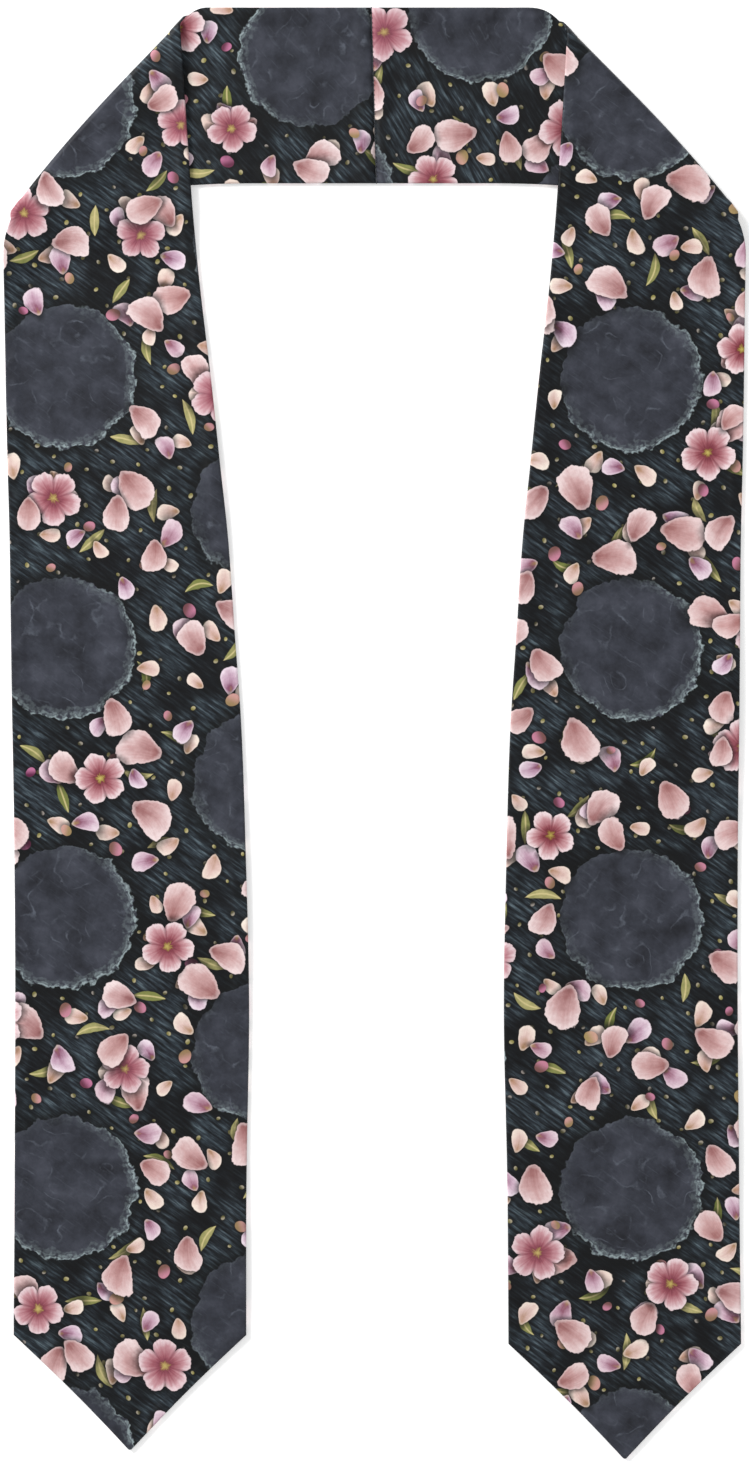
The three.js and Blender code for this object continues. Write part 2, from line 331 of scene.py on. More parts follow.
def swell_at(half, down, across):
    """How far the low swells lift the cloth there."""
    def bell(distance):
        return np.where(np.abs(distance) < 1, np.cos(distance * math.pi / 2) ** 2, 0.0)

    total = 0.0
    for place, side, reach, rise in SWELLS:
        along = bell((down - place - half["shift"] * (1 - down)) / reach)
        total = total + SWELL_RISE * rise * along * bell((across - side) / 0.8)
    return total


# columns of the grid beside each sewn edge, in mm from it
EDGE_STEPS = (0.0, 0.15, 0.4, 0.75, 1.15, 1.7, 2.6, 3.8, 5.2, 6.8, 8.4, 10.0)


def middle_surface(half):
    """The middle of the strip as a grid of points, with the print's flat place and the
    distance from the nearer long edge at each."""
    rows, crease = strip_rows(half)
    width = np.linalg.norm(rows["outer"] - rows["inner"], axis=1)[:, None]
    steps = np.array(EDGE_STEPS)[None, :] / EDGE_STEPS[-1]
    reach = np.minimum(EDGE_STEPS[-1], 0.42 * width)
    middle = reach + (width - 2 * reach) * np.linspace(0.0, 1.0, MIDDLE_COLUMNS)[None, 1:-1]
    distance = np.hstack([steps * reach, middle, width - (steps * reach)[:, ::-1]])
    across = distance / width
    edge = np.minimum(distance, width - distance)
    bowed = rows["bow"] * CREASE_BOW * np.sin(math.pi * across**0.8)
    share = across[..., None]
    place = rows["outer"][:, None] * (1 - share) + rows["inner"][:, None] * share
    place = place + bowed[..., None] * crease["away"]

    from_crease = (crease["place"] - place) @ crease["away"]
    past_band = crease["lower_edge"](place[..., 0]) - place[..., 1] - DRAPE_FROM
    resting = OVER_BAND * (1 - ease(past_band / DRAPE_RUN))
    settled = ease(from_crease / SETTLE_RUN)
    swell = swell_at(half, (TOP_Y - place[..., 1]) / half["length"], across)
    on_panel = CREASE_LIFT * (1 - settled) + resting * settled + swell
    on_roll = CREASE_LIFT * (1 + np.cos(rows["angle"])) / 2
    height = np.where(rows["zone"] == 0, on_panel, np.where(rows["zone"] == 1, on_roll, 0.0))

    # the flat cloth: what went round the roll or was folded back is laid out straight again
    round_roll = ROLL_RADIUS * (rows["angle"] - np.sin(rows["angle"]))
    folded = 2 * (from_crease + bowed) + math.pi * ROLL_RADIUS
    unrolled = np.where(rows["zone"] == 2, folded, np.where(rows["zone"] == 1, round_roll, 0.0))
    flat = place + unrolled[..., None] * crease["away"]

    mirror = np.array([half["mirror"], 1.0])
    points = np.dstack([place * mirror, LYING + height])
    return points, flat * mirror, edge


def face_normals(points, mirror):
    """Which way the strip's face looks at each of its points."""
    along = np.gradient(points, axis=0)
    across = np.gradient(points, axis=1)
    return unit(-mirror * np.cross(across, along))


# the sewn edges: how far they are rounded, and the seam allowance turned in behind them
EDGE_ROUND = 1.2
SEAM_ROUND = 1.8
TURNED_IN = 7.0
TURNED_FADE = 3.5
SINGLE_BODY = 0.58
LEAST_GAP = 0.02
# small waves of the cloth: along the turned edges, at the very edge, and into the seam
PUCKER_PITCH = 14.0
PUCKER_RISE = 0.2
PUCKER_REACH = 5.5
CRIMP_PITCH = 5.1
CRIMP_RISE = 0.06
CRIMP_REACH = 6.0
GATHER_PITCH = 8.5
GATHER_RISE = 0.17
GATHER_REACH = 7.0
GATHER_FROM = 4.0


def edge_waves(length, edge, from_seam, height, side):
    """How far the puckers, crimps and gathers lift the cloth there."""
    whole_turn = 2 * math.pi
    drift = 1.7 * np.sin(length / 61.0) + 1.1 * np.sin(length / 23.0 + 2.0 * side)
    pucker = np.sin(whole_turn * length / PUCKER_PITCH + drift)
    pucker = pucker * np.exp(-((edge - TURNED_IN) / PUCKER_REACH) ** 2)
    crimp = np.sin(whole_turn * length / CRIMP_PITCH + 2 * drift) * np.exp(-edge / CRIMP_REACH)
    gather = np.sin(whole_turn * height / GATHER_PITCH + 1.3 * np.sin(height / 17.0) + side)
    gather = gather * np.exp(-((from_seam - GATHER_FROM) / GATHER_REACH) ** 2)
    return PUCKER_RISE * pucker + CRIMP_RISE * crimp + GATHER_RISE * gather


def rounded(distance, radius):
    """From 0 at an edge to 1 at the radius from it, on a quarter circle."""
    return np.sqrt(np.clip(1 - (1 - np.clip(distance / radius, 0, 1)) ** 2, 0, 1))


def cloth_object(name, side_name, side):
    """One cloth of a half: a thin closed shell that meets the other cloth at the sewn edges,
    thicker over the turned seam allowance and lightly puckered along it. side: 1 for the
    face, -1 for the backing."""
    half = HALVES[side_name]
    points, flat, edge = middle_surface(half)
    normals = face_normals(points, half["mirror"])
    length = np.cumsum(np.linalg.norm(np.gradient(flat, axis=0), axis=-1), axis=0)
    from_seam = length[-1:] - length
    at_edge = 1 - ease((edge - TURNED_IN) / TURNED_FADE)
    at_seam = 1 - ease((from_seam - TURNED_IN) / TURNED_FADE)
    body = SINGLE_BODY + (1 - SINGLE_BODY) * np.maximum(at_edge, at_seam)
    round_off = rounded(edge, EDGE_ROUND)
    into_seam = 0.45 + 0.55 * rounded(from_seam, SEAM_ROUND)
    upwards = np.clip(side * normals[..., 2], 0.0, 1.0)
    waves = edge_waves(length, edge, from_seam, points[..., 1], side)
    outer_skin = PLY_GAP / 2 + CLOTH - LEAST_GAP
    out = LEAST_GAP + outer_skin * round_off * body * into_seam
    out = out + waves * upwards * round_off * into_seam
    inside = LEAST_GAP + (PLY_GAP / 2 - LEAST_GAP) * ease(edge / 2.0)
    top = points + side * out[..., None] * normals
    bottom = points + side * inside[..., None] * normals
    top[..., 2] = np.maximum(top[..., 2], 0.0)
    bottom[..., 2] = np.maximum(bottom[..., 2], 0.0)

    row_count, column_count = edge.shape
    grid = np.arange(row_count * column_count).reshape(row_count, column_count)
    low = grid + row_count * column_count
    quads = [
        np.stack([grid[:-1, :-1], grid[:-1, 1:], grid[1:, 1:], grid[1:, :-1]], -1).reshape(-1, 4),
        np.stack([low[:-1, :-1], low[1:, :-1], low[1:, 1:], low[:-1, 1:]], -1).reshape(-1, 4),
        np.stack([low[:-1, 0], grid[:-1, 0], grid[1:, 0], low[1:, 0]], -1),
        np.stack([grid[:-1, -1], low[:-1, -1], low[1:, -1], grid[1:, -1]], -1),
        np.stack([grid[0, 1:], grid[0, :-1], low[0, :-1], low[0, 1:]], -1),
        np.stack([grid[-1, :-1], grid[-1, 1:], low[-1, 1:], low[-1, :-1]], -1),
    ]
    quads = np.vstack(quads)
    vertices = np.vstack([top.reshape(-1, 3), bottom.reshape(-1, 3)])
    vertices = (vertices + (SHIFT_X, SHIFT_Y, 0.0)) / 1000.0
    # a shell that came out inside out is turned round
    a, b, c, d = (vertices[quads[:, corner]] for corner in range(4))
    volume = np.sum(a * np.cross(b, c)) + np.sum(a * np.cross(c, d))
    quads = quads if volume > 0 else quads[:, ::-1]

    mesh = bpy.data.meshes.new(name)
    mesh.from_pydata(vertices.tolist(), [], quads.tolist())
    places = np.vstack([flat.reshape(-1, 2), flat.reshape(-1, 2)]) / 1000.0
    loops = np.zeros(len(mesh.loops), np.int32)
    mesh.loops.foreach_get("vertex_index", loops)
    mesh.uv_layers.new(name="flat_cloth").data.foreach_set("uv", places[loops].ravel())
    mesh.shade_smooth()
    piece = bpy.data.objects.new(name, mesh)
    bpy.context.scene.collection.objects.link(piece)
    return piece


# The printed satin of all four cloths: a fine glossy weave with the print dyed into it.
# The print is made in the flat cloth's own millimetres: dark slate with a diagonal grain,
# bare dark round stones with pale chipped rims, and blossoms, petals, leaves and buds
# scattered over loose grids.
def srgb(red, green, blue):
    """A colour as the shaders take it, from screen values of 0 to 1."""
    return tuple(
        ((value + 0.055) / 1.055) ** 2.4 if value > 0.04045 else value / 12.92
        for value in (red, green, blue)
    ) + (1.0,)


def feed(tree, socket, value):
    """Links a socket to the input, or sets a plain value on it."""
    if isinstance(value, bpy.types.NodeSocket):
        tree.links.new(value, socket)
    else:
        socket.default_value = value


def calc(tree, operation, *values):
    """A Math node's result."""
    node = tree.nodes.new("ShaderNodeMath")
    node.operation = operation
    for socket, value in zip(node.inputs, values):
        feed(tree, socket, value)
    return node.outputs[0]


def vector(tree, operation, *values):
    """A Vector Math node's result: a number for LENGTH, else a vector."""
    node = tree.nodes.new("ShaderNodeVectorMath")
    node.operation = operation
    for socket, value in zip(node.inputs, values):
        feed(tree, socket, value)
    return node.outputs["Value" if operation == "LENGTH" else "Vector"]


def turned(tree, place, angle):
    """A place turned about Z."""
    node = tree.nodes.new("ShaderNodeVectorRotate")
    node.rotation_type = "Z_AXIS"
    feed(tree, node.inputs["Vector"], place)
    feed(tree, node.inputs["Angle"], angle)
    return node.outputs[0]


def parts(tree, place):
    """The three numbers of a vector or colour."""
    node = tree.nodes.new("ShaderNodeSeparateXYZ")
    feed(tree, node.inputs[0], place)
    return node.outputs[0], node.outputs[1], node.outputs[2]


def joined(tree, x, y, z=0.0):
    """A vector of three numbers."""
    node = tree.nodes.new("ShaderNodeCombineXYZ")
    for socket, value in zip(node.inputs, (x, y, z)):
        feed(tree, socket, value)
    return node.outputs[0]


def step_up(tree, value, low, high):
    """Smoothly from 0 to 1 as the value goes from low to high."""
    node = tree.nodes.new("ShaderNodeMapRange")
    node.interpolation_type = "SMOOTHSTEP"
    feed(tree, node.inputs["Value"], value)
    feed(tree, node.inputs["From Min"], low)
    feed(tree, node.inputs["From Max"], high)
    return node.outputs[0]


def spread(tree, value, low, high):
    """A share of 0 to 1 as a number from low to high."""
    return calc(tree, "MULTIPLY_ADD", value, high - low, low)


def blend(tree, share, under, over):
    """One colour over another by a share."""
    node = tree.nodes.new("ShaderNodeMix")
    node.data_type = "RGBA"
    feed(tree, node.inputs[0], share)
    feed(tree, node.inputs[6], under)
    feed(tree, node.inputs[7], over)
    return node.outputs[2]


def noise(tree, place, size, detail=2.0, roughness=0.5):
    """Noise whose lumps are about that many millimetres across, about 0.5 in the middle."""
    node = tree.nodes.new("ShaderNodeTexNoise")
    feed(tree, node.inputs["Vector"], place)
    node.inputs["Scale"].default_value = 1.0 / size
    node.inputs["Detail"].default_value = detail
    node.inputs["Roughness"].default_value = roughness
    return node.outputs["Fac"]


def tones(tree, value, stops):
    """A colour from a row of stops."""
    node = tree.nodes.new("ShaderNodeValToRGB")
    ramp = node.color_ramp
    while len(ramp.elements) < len(stops):
        ramp.elements.new(0.5)
    for element, (position, colour) in zip(ramp.elements, stops):
        element.position = position
        element.color = colour
    feed(tree, node.inputs[0], value)
    return node.outputs[0]


def times(tree, one, other):
    """The product of two numbers."""
    return calc(tree, "MULTIPLY", one, other)


def less(tree, one, other):
    """The first number less the second."""
    return calc(tree, "SUBTRACT", one, other)


def more(tree, one, other):
    """The sum of two numbers."""
    return calc(tree, "ADD", one, other)


# the bare round stones: how far apart their columns and rows are, and their radius
STONE_COLUMN = 112.0
STONE_ROW = 152.0
STONE_RADIUS = 40.0


def from_stone(tree, place):
    """The place measured from the nearest stone's middle. The columns are half a row apart."""
    x, y, _ = parts(tree, place)
    column = calc(tree, "DIVIDE", x, STONE_COLUMN)
    number = calc(tree, "FLOOR", column)
    lifted = calc(tree, "MULTIPLY_ADD", number, STONE_ROW / 2, y)
    near_x = times(tree, less(tree, less(tree, column, number), 0.5), STONE_COLUMN)
    row = calc(tree, "FRACT", calc(tree, "DIVIDE", lifted, STONE_ROW))
    near_y = times(tree, less(tree, row, 0.5), STONE_ROW)
    return joined(tree, near_x, near_y)


def scattered(tree, place, cell, turn, seed, jitter, clearance):
    """A loose grid of motifs: the place in a motif's own turned frame, three random shares for
    it, and 1 where the motif shows, 0 where it would lie on a stone."""
    grid = vector(tree, "ADD", turned(tree, place, turn), (17.0 * seed, 11.0 * seed, 0.0))
    shares = vector(tree, "DIVIDE", grid, (cell, cell, 1.0))
    index = vector(tree, "FLOOR", shares)
    draws = []
    for offset in (0.5, 20.5):
        white = tree.nodes.new("ShaderNodeTexWhiteNoise")
        white.noise_dimensions = "3D"
        feed(tree, white.inputs["Vector"], vector(tree, "ADD", index, (0.0, 0.0, seed + offset)))
        draws.append(parts(tree, white.outputs["Color"]))
    (move_x, move_y, spin), draw = draws
    room = jitter * cell
    moved = joined(tree, spread(tree, move_x, -room, room), spread(tree, move_y, -room, room))
    centred = vector(tree, "SUBTRACT", vector(tree, "SUBTRACT", shares, index), (0.5, 0.5, 0.0))
    in_cell = vector(tree, "MULTIPLY", centred, (cell, cell, 0.0))
    local = vector(tree, "SUBTRACT", in_cell, moved)
    centre = vector(tree, "SUBTRACT", place, turned(tree, local, -turn))
    stone = vector(tree, "LENGTH", from_stone(tree, centre))
    shown = calc(tree, "GREATER_THAN", stone, STONE_RADIUS + clearance)
    own = turned(tree, local, times(tree, spin, 2 * math.pi))
    return own, draw, shown


def shaded(tree, colour, outside, depth, reach):
    """The colour under a motif, darkened by its soft shadow. outside: mm past its outline."""
    shadow = less(tree, 1.0, step_up(tree, outside, -1.0, reach))
    return blend(tree, times(tree, shadow, depth), colour, srgb(0.025, 0.03, 0.035))


def laid_over(tree, under, outside, shown, colour, depth=0.85, reach=6.0):
    """A motif laid over the print, with its shadow. outside: mm past the motif's outline."""
    hidden = times(tree, less(tree, 1.0, shown), 100.0)
    far = more(tree, outside, hidden)
    inside = less(tree, 1.0, step_up(tree, far, -0.25, 0.25))
    return blend(tree, inside, shaded(tree, under, far, depth, reach), colour)


def petal_layer(tree, under, place, rough, cell, turn, seed, length, breadth, stops):
    """Loose cupped petals: ovals that are wider at one end, pale at the rim and coloured
    towards the base."""
    own, (size, tone, curl), shown = scattered(tree, place, cell, turn, seed, 0.16, 0.3 * length)
    x, y, _ = parts(tree, own)
    scale = spread(tree, size, 0.7, 1.0)
    long = calc(tree, "DIVIDE", x, times(tree, scale, length / 2))
    flank = times(tree, scale, breadth / 2)
    taper = calc(tree, "MULTIPLY_ADD", long, 0.34, 0.86)
    wide = calc(tree, "DIVIDE", y, times(tree, flank, taper))
    curve = times(tree, times(tree, long, long), spread(tree, curl, -0.35, 0.35))
    bent = more(tree, wide, curve)
    reach = vector(tree, "LENGTH", joined(tree, long, bent))
    wavy = more(tree, reach, times(tree, less(tree, rough, 0.5), 0.34))
    outside = times(tree, less(tree, wavy, 1.0), breadth / 2)
    slant = times(tree, long, spread(tree, tone, -0.3, 0.3))
    fold = calc(tree, "ABSOLUTE", more(tree, bent, slant))
    cup = more(tree, times(tree, long, 0.36), times(tree, fold, 0.3))
    shade = more(tree, cup, calc(tree, "MULTIPLY_ADD", rough, 0.35, 0.18))
    vein_place = vector(tree, "MULTIPLY", joined(tree, long, bent, tone), (1.2, 9.0, 9.0))
    shade = more(tree, shade, times(tree, noise(tree, vein_place, 1.0, 2.0), 0.22))
    colour = tones(tree, shade, stops)
    rim = times(tree, step_up(tree, wavy, 0.74, 0.98), 0.45)
    colour = blend(tree, rim, colour, stops[-1][1])
    tint = blend(tree, times(tree, tone, 0.22), colour, srgb(0.73, 0.51, 0.48))
    return laid_over(tree, under, outside, shown, tint)


BLOSSOM = (
    (0.0, srgb(0.74, 0.68, 0.36)),
    (0.13, srgb(0.55, 0.44, 0.20)),
    (0.2, srgb(0.42, 0.14, 0.19)),
    (0.42, srgb(0.59, 0.33, 0.36)),
    (0.72, srgb(0.76, 0.57, 0.59)),
    (0.95, srgb(0.90, 0.82, 0.83)),
)


def blossom_layer(tree, under, place, rough, cell, turn, seed, radius):
    """Open blossoms of five round petals, deep rose inside and pale towards the rims."""
    own, (size, tone, _), shown = scattered(tree, place, cell, turn, seed, 0.13, 0.7 * radius)
    x, y, _ = parts(tree, own)
    angle = calc(tree, "ARCTAN2", y, x)
    reach = vector(tree, "LENGTH", own)
    wave = calc(tree, "ABSOLUTE", calc(tree, "COSINE", times(tree, angle, 2.5)))
    lobes = calc(tree, "MULTIPLY_ADD", calc(tree, "POWER", wave, 0.42), 0.42, 0.58)
    edge = times(tree, lobes, times(tree, spread(tree, size, 0.82, 1.0), radius))
    share = calc(tree, "DIVIDE", reach, edge)
    share = more(tree, share, times(tree, less(tree, rough, 0.5), 0.3))
    outside = times(tree, less(tree, share, 1.0), edge)
    ray_place = joined(tree, times(tree, angle, 9.0), times(tree, reach, 0.09), tone)
    rays = noise(tree, ray_place, 1.0, 2.0)
    inner_tone = more(tree, share, calc(tree, "MULTIPLY_ADD", rays, 0.36, -0.18))
    colour = tones(tree, inner_tone, BLOSSOM)
    parting = less(tree, 1.0, step_up(tree, wave, 0.02, 0.38))
    parting = times(tree, parting, step_up(tree, share, 0.12, 0.4))
    colour = blend(tree, times(tree, parting, 0.7), colour, srgb(0.44, 0.15, 0.20))
    colour = blend(tree, times(tree, tone, 0.3), colour, srgb(0.66, 0.42, 0.50))
    return laid_over(tree, under, outside, shown, colour)


def leaf_layer(tree, under, place, rough, cell, turn, seed, length, breadth):
    """Slender leaves with a pale rib."""
    own, (size, tone, curl), shown = scattered(tree, place, cell, turn, seed, 0.2, 0.35 * length)
    rib = srgb(0.82, 0.76, 0.55)
    x, y, _ = parts(tree, own)
    long = calc(tree, "DIVIDE", x, times(tree, spread(tree, size, 0.75, 1.0), length / 2))
    square = times(tree, long, long)
    bent = more(tree, y, times(tree, square, spread(tree, curl, -3.5, 3.5)))
    side = calc(tree, "ABSOLUTE", bent)
    flank = times(tree, less(tree, 1.0, square), breadth / 2)
    outside = more(tree, less(tree, side, flank), times(tree, less(tree, rough, 0.5), 1.2))
    toned = blend(tree, times(tree, rough, tone), srgb(0.42, 0.45, 0.22), rib)
    line = less(tree, 1.0, step_up(tree, side, 0.15, 0.7))
    ribbed = blend(tree, times(tree, line, 0.7), toned, rib)
    return laid_over(tree, under, outside, shown, ribbed, 0.7, 4.0)


def bud_layer(tree, under, place, rough, cell, turn, seed, radius, dark, light):
    """Small round buds, lit from above."""
    own, (size, tone, _), shown = scattered(tree, place, cell, turn, seed, 0.25, radius)
    reach = vector(tree, "LENGTH", vector(tree, "MULTIPLY", own, (1.0, 1.25, 1.0)))
    edge = times(tree, spread(tree, size, 0.55, 1.0), radius)
    outside = less(tree, reach, calc(tree, "MULTIPLY_ADD", rough, 0.8, edge))
    x, y, _ = parts(tree, own)
    lit = step_up(tree, calc(tree, "DIVIDE", more(tree, x, y), edge), -1.0, 1.1)
    colour = blend(tree, lit, dark, light)
    colour = blend(tree, times(tree, tone, 0.4), colour, srgb(0.85, 0.80, 0.45))
    return laid_over(tree, under, outside, shown, colour, 0.7, 3.5)


PINK_PETAL = (
    (0.0, srgb(0.40, 0.20, 0.21)),
    (0.3, srgb(0.60, 0.41, 0.41)),
    (0.62, srgb(0.77, 0.62, 0.62)),
    (0.98, srgb(0.92, 0.85, 0.85)),
)
CREAM_PETAL = (
    (0.0, srgb(0.46, 0.38, 0.16)),
    (0.28, srgb(0.68, 0.54, 0.44)),
    (0.6, srgb(0.84, 0.73, 0.70)),
    (0.95, srgb(0.94, 0.89, 0.84)),
)
LILAC_PETAL = (
    (0.0, srgb(0.66, 0.62, 0.26)),
    (0.16, srgb(0.58, 0.46, 0.30)),
    (0.34, srgb(0.50, 0.29, 0.40)),
    (0.62, srgb(0.74, 0.61, 0.69)),
    (0.95, srgb(0.90, 0.84, 0.88)),
)


# width of a thread pair, how deep the threads and the soft creases are in the bump, and
# how strongly the threads' painted shade shows in the colour
WEAVE_PITCH = 0.42
WEAVE_DEPTH = 0.025
CREASE_DEPTH = 0.9
THREAD_SHADE = 0.07
# the print's diagonal grain: its angle, and how wide its streaks are for their length
GRAIN_TURN = 0.62
GRAIN_STRETCH = 0.11

SLATE_GRAIN = (
    (0.32, srgb(0.025, 0.03, 0.04)),
    (0.48, srgb(0.12, 0.145, 0.17)),
    (0.58, srgb(0.21, 0.25, 0.28)),
    (0.72, srgb(0.37, 0.43, 0.46)),
)
STONE_SLATE = (
    (0.3, srgb(0.115, 0.12, 0.145)),
    (0.52, srgb(0.195, 0.205, 0.24)),
    (0.72, srgb(0.26, 0.27, 0.31)),
)
# the stones' pale chipped lines: how far inside the rim, half the width, and the strength
RIM_LINES = ((0.5, 0.1, 0.85), (2.0, 0.15, 0.4), (3.9, 0.6, 0.14))


def slate_ground(tree, place, rough, fine):
    """The ground of the print: dark streaked slate with bare round stones on it."""
    broad = noise(tree, place, 34.0, 2.0, 0.5)
    streaks = vector(tree, "MULTIPLY", turned(tree, place, GRAIN_TURN), (GRAIN_STRETCH, 1.0, 1.0))
    grain = noise(tree, streaks, 1.7, 3.0, 0.62)
    gloom = times(tree, step_up(tree, broad, 0.44, 0.62), 0.85)
    colour = blend(tree, gloom, tones(tree, grain, SLATE_GRAIN), srgb(0.015, 0.015, 0.025))

    stone = from_stone(tree, place)
    x, y, _ = parts(tree, stone)
    bumps = noise(tree, place, 13.0, 3.0, 0.6)
    reach = vector(tree, "LENGTH", stone)
    outline = more(tree, reach, times(tree, less(tree, bumps, 0.5), 13.0))
    outside = less(tree, outline, STONE_RADIUS)
    colour = shaded(tree, colour, outside, 0.9, 11.0)
    slate = tones(tree, noise(tree, place, 17.0, 4.0, 0.6), STONE_SLATE)
    stroke = step_up(tree, grain, 0.56, 0.72)
    slate = blend(tree, times(tree, stroke, 0.12), slate, srgb(0.42, 0.45, 0.50))
    heights = calc(tree, "MULTIPLY_ADD", broad, 9.0, times(tree, fine, 0.25))
    flake = less(tree, 1.0, step_up(tree, calc(tree, "PINGPONG", heights, 0.5), 0.0, 0.12))
    flake = times(tree, flake, step_up(tree, bumps, 0.45, 0.75))
    slate = blend(tree, flake, slate, srgb(0.33, 0.35, 0.39))
    inside = less(tree, 1.0, step_up(tree, outside, -0.3, 0.3))
    colour = blend(tree, inside, colour, slate)

    across = times(tree, less(tree, x, y), 1.0 / STONE_RADIUS)
    low_side = spread(tree, step_up(tree, across, -1.3, 1.0), 0.06, 1.0)
    chip = times(tree, step_up(tree, noise(tree, place, 2.6, 2.0, 0.5), 0.34, 0.6), low_side)
    worn = times(tree, less(tree, rough, 0.5), 3.2)
    for depth, width, strength in RIM_LINES:
        off_line = calc(tree, "ABSOLUTE", more(tree, more(tree, outside, depth), worn))
        line = less(tree, 1.0, step_up(tree, off_line, width, width + 0.9))
        pale = times(tree, times(tree, line, chip), strength)
        colour = blend(tree, pale, colour, srgb(0.60, 0.66, 0.67))
    return colour


def scattered_flowers(tree, colour, place, rough):
    """All that lies loose on the slate, from the seeds below to the large petals on top."""
    colour = bud_layer(
        tree, colour, place, rough, cell=15.0, turn=0.5, seed=3.0, radius=1.1,
        dark=srgb(0.10, 0.11, 0.12), light=srgb(0.55, 0.52, 0.50),
    )
    colour = leaf_layer(
        tree, colour, place, rough, cell=41.0, turn=1.1, seed=5.0,
        length=21.0, breadth=5.2,
    )
    colour = petal_layer(
        tree, colour, place, rough, cell=32.0, turn=0.2, seed=7.0,
        length=15.0, breadth=11.0, stops=CREAM_PETAL,
    )
    colour = petal_layer(
        tree, colour, place, rough, cell=37.0, turn=0.75, seed=9.0,
        length=17.0, breadth=13.5, stops=LILAC_PETAL,
    )
    colour = bud_layer(
        tree, colour, place, rough, cell=39.0, turn=0.9, seed=11.0, radius=3.9,
        dark=srgb(0.36, 0.08, 0.26), light=srgb(0.72, 0.42, 0.58),
    )
    colour = petal_layer(
        tree, colour, place, rough, cell=47.0, turn=1.3, seed=13.0,
        length=26.0, breadth=22.0, stops=PINK_PETAL,
    )
    colour = blossom_layer(
        tree, colour, place, rough, cell=74.0, turn=0.35, seed=15.0, radius=16.5
    )
    return petal_layer(
        tree, colour, place, rough, cell=60.0, turn=0.05, seed=17.0,
        length=24.0, breadth=19.0, stops=PINK_PETAL,
    )


def satin(name, repeat_from, roughness, dimmed):
    """Printed satin. repeat_from: where the print's repeat starts on this cloth, in mm.
    dimmed: the print's strength, 1 for the face and less for a duller reverse."""
    material = bpy.data.materials.new(name)
    material.use_nodes = True
    tree = material.node_tree
    shader = tree.nodes["Principled BSDF"]
    flat = tree.nodes.new("ShaderNodeUVMap")
    flat.uv_map = "flat_cloth"
    place = vector(tree, "MULTIPLY", flat.outputs[0], (1000.0, 1000.0, 0.0))
    print_place = vector(tree, "ADD", place, repeat_from)
    rough = noise(tree, print_place, 5.0, 2.0, 0.6)
    fine = noise(tree, print_place, 1.6, 2.0, 0.6)
    colour = slate_ground(tree, print_place, rough, fine)
    colour = scattered_flowers(tree, colour, print_place, rough)

    thread = 2 * math.pi / WEAVE_PITCH
    warp, weft, _ = parts(tree, vector(tree, "MULTIPLY", place, (thread, thread, 0.0)))
    floats = calc(tree, "SINE", calc(tree, "MULTIPLY_ADD", warp, 0.5, weft))
    weave = times(tree, calc(tree, "SINE", warp), floats)
    # the colour is mottled at random, and the weave's threads are painted lighter and darker on
    # it: painted shade of the thread relief
    tone_and_thread_shade = calc(tree, "MULTIPLY_ADD", fine, 0.22, dimmed - 0.11)
    tone_and_thread_shade = calc(tree, "MULTIPLY_ADD", weave, THREAD_SHADE, tone_and_thread_shade)
    toned = vector(tree, "SCALE", colour)
    feed(tree, toned.node.inputs["Scale"], tone_and_thread_shade)
    tree.links.new(toned, shader.inputs["Base Color"])

    crease = noise(tree, place, 26.0, 3.0, 0.55)
    relief = more(tree, times(tree, weave, WEAVE_DEPTH), times(tree, crease, CREASE_DEPTH))
    bump = tree.nodes.new("ShaderNodeBump")
    bump.inputs["Strength"].default_value = 0.6
    bump.inputs["Distance"].default_value = 0.001
    feed(tree, bump.inputs["Height"], relief)
    tree.links.new(bump.outputs[0], shader.inputs["Normal"])
    shine = calc(tree, "MULTIPLY_ADD", fine, 0.2, roughness - 0.1)
    tree.links.new(shine, shader.inputs["Roughness"])
    shader.inputs["Specular IOR Level"].default_value = 0.2
    shader.inputs["Sheen Weight"].default_value = 0.02
    shader.inputs["Sheen Roughness"].default_value = 0.4
    return material


left_satin = satin("left_printed_satin", (6.0, 28.0, 0.0), 0.5, 1.0)
left_face = cloth_object("left_printed_face", "left", 1)
left_face.data.materials.append(left_satin)
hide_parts("left_face_panel", "left_face_band")
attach(left_face, "root")

left_back_satin = satin("left_backing_satin", (-31.0, 61.0, 0.0), 0.56, 0.95)
left_backing = cloth_object("left_printed_backing", "left", -1)
left_backing.data.materials.append(left_back_satin)
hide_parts("left_backing_panel", "left_backing_band")
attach(left_backing, "root")

# The right half. It is made as the left one, from cloth cut elsewhere along the print's
# repeat, and lies a little lower.
right_satin = satin("right_printed_satin", (23.0, -47.0, 0.0), 0.5, 1.0)
right_face = cloth_object("right_printed_face", "right", 1)
right_face.data.materials.append(right_satin)
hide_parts("right_face_panel", "right_face_band")
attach(right_face, "root")

right_back_satin = satin("right_backing_satin", (64.0, 9.0, 0.0), 0.56, 0.95)
right_backing = cloth_object("right_printed_backing", "right", -1)
right_backing.data.materials.append(right_back_satin)
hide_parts("right_backing_panel", "right_backing_band")
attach(right_backing, "root")

# The centre-back seam. The two halves are sewn together here and pressed: a low soft ridge
# of turned cloth lies in the groove between them, with a row of small sunk stitches.
RIDGE_SPARE = 0.3
RIDGE_HIGH = 0.6
RIDGE_SIDES = 16
RIDGE_CUTS = 99
RIPPLE_RISE = 0.08
RIPPLE_REACH = 1.9
STITCHES = 36
STITCH_PITCH = 2.7
STITCH_LONG = 1.9
STITCH_THICK = 0.32
STITCH_LOW = 0.56
STITCH_BOW = 0.2
FIRST_STITCH = 2.2

seam_turn = math.atan2(SEAM_LEAN, BAND_WIDTH)
seam_middle = TOP_Y - BAND_WIDTH / 2

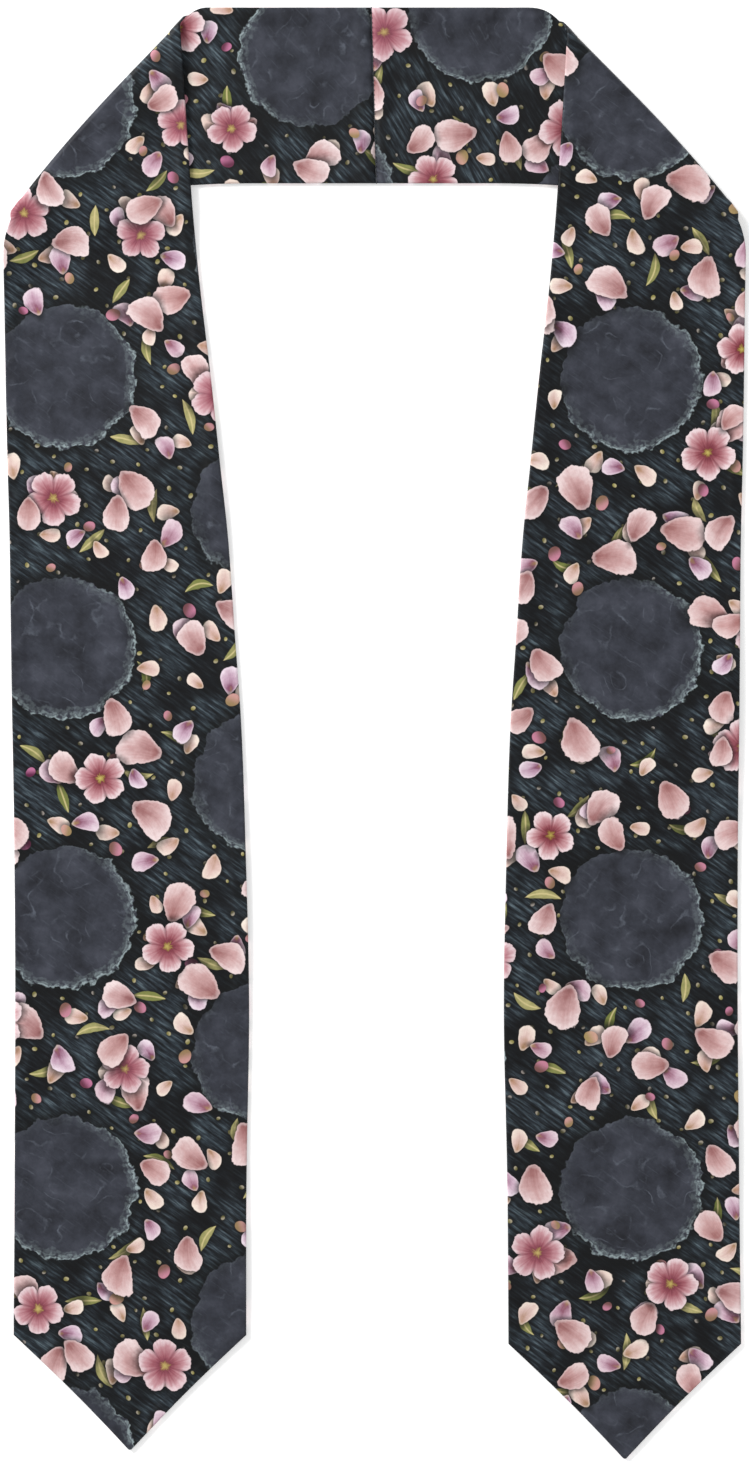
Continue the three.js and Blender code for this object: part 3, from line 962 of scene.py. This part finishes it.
bpy.ops.object.select_all(action="DESELECT")
bpy.ops.mesh.primitive_cylinder_add(
    vertices=RIDGE_SIDES,
    radius=0.001,
    depth=(BAND_WIDTH + 2 * RIDGE_SPARE) / 1000,
    location=(SHIFT_X / 1000, (seam_middle + SHIFT_Y) / 1000, LYING / 1000),
    rotation=(math.pi / 2, 0.0, seam_turn),
    scale=(SEAM_DITCH - 0.02, RIDGE_HIGH, 1.0),
)
seam_ridge = bpy.context.object
seam_ridge.name = "centre_seam_ridge"
seam_ridge.data.name = "centre_seam_ridge"
bpy.ops.object.transform_apply(location=True, rotation=True, scale=True)
bpy.ops.object.mode_set(mode="EDIT")
bpy.ops.mesh.select_mode(type="EDGE")
bpy.ops.mesh.select_all(action="DESELECT")
bpy.ops.object.mode_set(mode="OBJECT")
for edge in seam_ridge.data.edges:
    one, other = (seam_ridge.data.vertices[index].co for index in edge.vertices)
    edge.select = (one - other).length > BAND_WIDTH / 2000
bpy.ops.object.mode_set(mode="EDIT")
bpy.ops.mesh.subdivide(number_cuts=RIDGE_CUTS)
bpy.ops.object.mode_set(mode="OBJECT")
for vertex in seam_ridge.data.vertices:
    ripple = 1 + RIPPLE_RISE * math.sin(vertex.co.y * 1000 / RIPPLE_REACH)
    vertex.co.z = (LYING + (vertex.co.z * 1000 - LYING) * ripple) / 1000
bpy.ops.object.shade_smooth()

thread = bpy.data.materials.new("seam_thread")
thread.use_nodes = True
thread_tree = thread.node_tree
thread_shader = thread_tree.nodes["Principled BSDF"]
thread_place = thread_tree.nodes.new("ShaderNodeTexCoord").outputs["Object"]
thread_mm = vector(thread_tree, "MULTIPLY", thread_place, (1000.0, 1000.0, 1000.0))
thread_tone = tones(thread_tree, noise(thread_tree, thread_mm, 2.2, 2.0), (
    (0.3, srgb(0.09, 0.10, 0.12)),
    (0.7, srgb(0.23, 0.25, 0.28)),
))
thread_tree.links.new(thread_tone, thread_shader.inputs["Base Color"])
thread_shader.inputs["Roughness"].default_value = 0.6
seam_ridge.data.materials.append(thread)
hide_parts("centre_back_seam")
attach(seam_ridge, "root")

# one stitch: a short thread, thinner where it dips into the cloth at its two ends
bpy.ops.object.select_all(action="DESELECT")
first_drop = FIRST_STITCH + STITCH_LONG / 2
bpy.ops.mesh.primitive_uv_sphere_add(
    segments=8,
    ring_count=8,
    radius=0.0005,
    location=(
        (SHIFT_X + SEAM_LEAN * (first_drop / BAND_WIDTH - 0.5)) / 1000,
        (TOP_Y - first_drop + SHIFT_Y) / 1000,
        (LYING + STITCH_LOW) / 1000,
    ),
    rotation=(math.pi / 2, 0.0, seam_turn),
    scale=(STITCH_THICK, STITCH_THICK, STITCH_LONG),
)
stitches = bpy.context.object
stitches.name = "centre_seam_stitches"
stitches.data.name = "centre_seam_stitches"
for vertex in stitches.data.vertices:
    vertex.co.y += 0.001 * STITCH_BOW / STITCH_THICK * math.cos(math.pi * vertex.co.z / 0.001)
bpy.ops.object.shade_smooth()
stitches.data.materials.append(thread)
for number in range(1, STITCHES):
    stitch = stitches.copy()
    stitch.data = stitches.data.copy()
    stitch.location.x += number * STITCH_PITCH * math.tan(seam_turn) / 1000
    stitch.location.y -= number * STITCH_PITCH / 1000
    bpy.context.scene.collection.objects.link(stitch)
    stitch.select_set(True)
bpy.ops.object.join()
bpy.ops.object.transform_apply(location=True, rotation=True, scale=True)
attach(stitches, "root")
